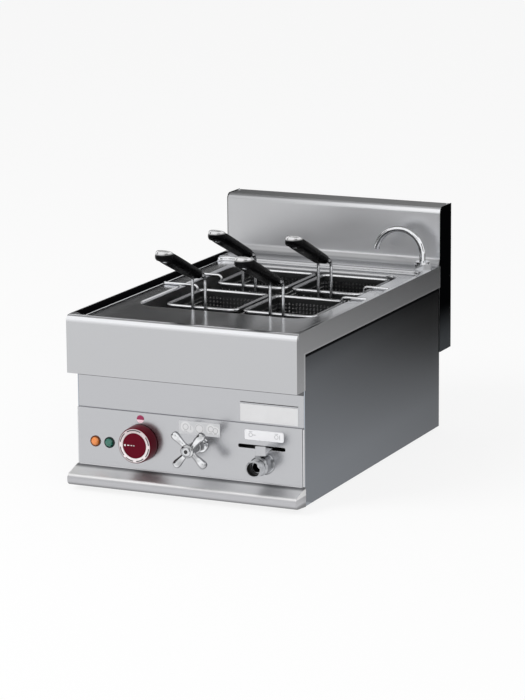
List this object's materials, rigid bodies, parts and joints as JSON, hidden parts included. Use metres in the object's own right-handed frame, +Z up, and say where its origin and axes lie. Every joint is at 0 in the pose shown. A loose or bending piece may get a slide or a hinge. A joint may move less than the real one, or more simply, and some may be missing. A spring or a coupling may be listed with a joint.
{
  "type": "counter-top electric pasta cooker",
  "caption": "Counter-top electric pasta cooker in stainless steel with lift-out wire-rimmed baskets in a well, swivel filler spout, cross-handle tap, thermostat knob and lever drain.",
  "frame": {"origin": "on the standing plane under the feet, at the middle of the overall width and depth", "axes": "+X to the right seen from the front, +Y towards the back, +Z up"},
  "size_m": [0.4, 0.677, 0.3894],
  "materials": {
    "steel": "fine brushed stainless sheet",
    "side_steel": "satin stainless sheet",
    "zinc_steel": "plain galvanised sheet and fittings",
    "dark_steel": "satin black",
    "mesh_steel": "perforated stainless sheet",
    "wire_steel": "polished stainless wire",
    "element_steel": "heat-tinted sheath",
    "chrome": "polished",
    "brass": "turned",
    "copper": "drawn copper tube",
    "rubber": "matt",
    "grip_black": "glossy heat-resistant plastic",
    "black_plastic": "moulded",
    "red_plastic": "dark red moulded plastic",
    "white_plastic": "smooth white",
    "plate_silver": "plain anodised plate",
    "orange_lens": "translucent orange lens",
    "green_lens": "translucent dark green lens"
  },
  "bodies": {
    "casing": {"worktop": "steel", "tank": "steel", "left_side_panel": "side_steel", "right_side_panel": "side_steel", "front_strip": "steel", "control_panel": "steel", "base_ledge": "steel", "base_plate": "zinc_steel", "rear_panel": "zinc_steel", "splashback": "steel", "splashback_ends": "dark_steel", "feet": "rubber", "heating_element": "element_steel", "element_flange": "zinc_steel", "thermostat_pocket": "steel", "false_bottom": "steel", "drain_elbow": "steel", "drain_valve_body": "brass", "drain_outlet": "chrome", "water_valve": "brass", "tap_bonnet": "chrome", "feed_pipe": "copper", "spout_pipe": "copper", "inlet_fitting": "brass", "spout_nut": "chrome", "orange_lamp": "orange_lens", "green_lamp": "green_lens", "thermostat": "black_plastic", "safety_thermostat": "black_plastic", "contactor": "black_plastic", "terminal_block": "white_plastic", "component_tray": "zinc_steel", "cable_gland": "black_plastic", "name_plate": "plate_silver", "tap_label": "white_plastic", "drain_label": "white_plastic", "index_spot": "red_plastic"},
    "knob": {"thermostat_shaft": "zinc_steel", "knob": "red_plastic", "knob_dial": "white_plastic"},
    "tap": {"tap_spindle": "brass", "tap_handle": "chrome", "tap_cap": "black_plastic"},
    "drain_lever": {"valve_stem": "zinc_steel", "valve_ball": "chrome", "drain_lever": "steel"},
    "spout": {"spout": "chrome"},
    "front_left_basket": {"front_left_shell": "mesh_steel", "front_left_frame": "wire_steel", "front_left_grip": "grip_black"},
    "front_right_basket": {"front_right_shell": "mesh_steel", "front_right_frame": "wire_steel", "front_right_grip": "grip_black"},
    "rear_left_basket": {"rear_left_shell": "mesh_steel", "rear_left_frame": "wire_steel", "rear_left_grip": "grip_black"},
    "rear_right_basket": {"rear_right_shell": "mesh_steel", "rear_right_frame": "wire_steel", "rear_right_grip": "grip_black"}
  },
  "joints": [
    {"name": "knob_turn", "type": "hinge", "parent": "casing", "child": "knob", "pos_m": [-0.085, -0.2835, 0.081], "axis": [0, 1, 0], "range_deg": [0, 270]},
    {"name": "tap_turn", "type": "hinge", "parent": "casing", "child": "tap", "pos_m": [0.021, -0.2835, 0.089], "axis": [0, -1, 0], "range_deg": [0, 540]},
    {"name": "drain_lever_swing", "type": "hinge", "parent": "casing", "child": "drain_lever", "pos_m": [0.131, -0.2435, 0.094], "axis": [0, 0, 1], "range_deg": [-46, 21]},
    {"name": "spout_swivel", "type": "hinge", "parent": "casing", "child": "spout", "pos_m": [0.183, 0.2485, 0.285], "axis": [0, 0, 1], "range_deg": [-15, 90]},
    {"name": "front_left_lift", "type": "slide", "parent": "casing", "child": "front_left_basket", "axis": [0, 0, 1], "range_m": [0, 0.3]},
    {"name": "front_right_lift", "type": "slide", "parent": "casing", "child": "front_right_basket", "axis": [0, 0, 1], "range_m": [0, 0.3]},
    {"name": "rear_left_lift", "type": "slide", "parent": "front_left_basket", "child": "rear_left_basket", "axis": [0, 0, 1], "range_m": [0, 0.3]},
    {"name": "rear_right_lift", "type": "slide", "parent": "front_right_basket", "child": "rear_right_basket", "axis": [0, 0, 1], "range_m": [0, 0.3]}
  ]
}
